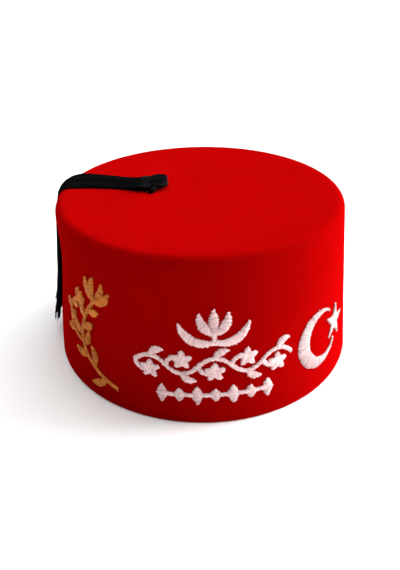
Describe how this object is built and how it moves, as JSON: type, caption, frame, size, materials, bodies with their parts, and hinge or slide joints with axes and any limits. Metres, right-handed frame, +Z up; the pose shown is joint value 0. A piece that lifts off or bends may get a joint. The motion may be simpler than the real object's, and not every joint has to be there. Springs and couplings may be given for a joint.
{
  "type": "fez hat",
  "caption": "Oval flat-topped felt fez with a black side tassel and raised thread embroidery round its front; hollow, open at the rim for a head.",
  "frame": {"origin": "middle of the rim's oval, on the plane that the rim rests on", "axes": "+Z up through the crown, -Y towards the embroidered front, +X to the right as the front is looked at; the oval's long axis lies along Y and the tassel on the -X side"},
  "size_m": [0.1825, 0.1991, 0.0992],
  "materials": {
    "felt": "short velvety nap, matte",
    "silk": "fine twisted strands, soft sheen",
    "gold_thread": "satin stitch, glossy thread",
    "white_thread": "satin stitch, glossy thread"
  },
  "bodies": {
    "root": {"crown": "felt", "tassel": "silk", "tassel_binding": "silk", "gold_spray": "gold_thread", "white_tulip": "white_thread", "white_vine": "white_thread", "white_lozenges": "white_thread", "crescent": "white_thread", "star": "white_thread"}
  },
  "joints": []
}
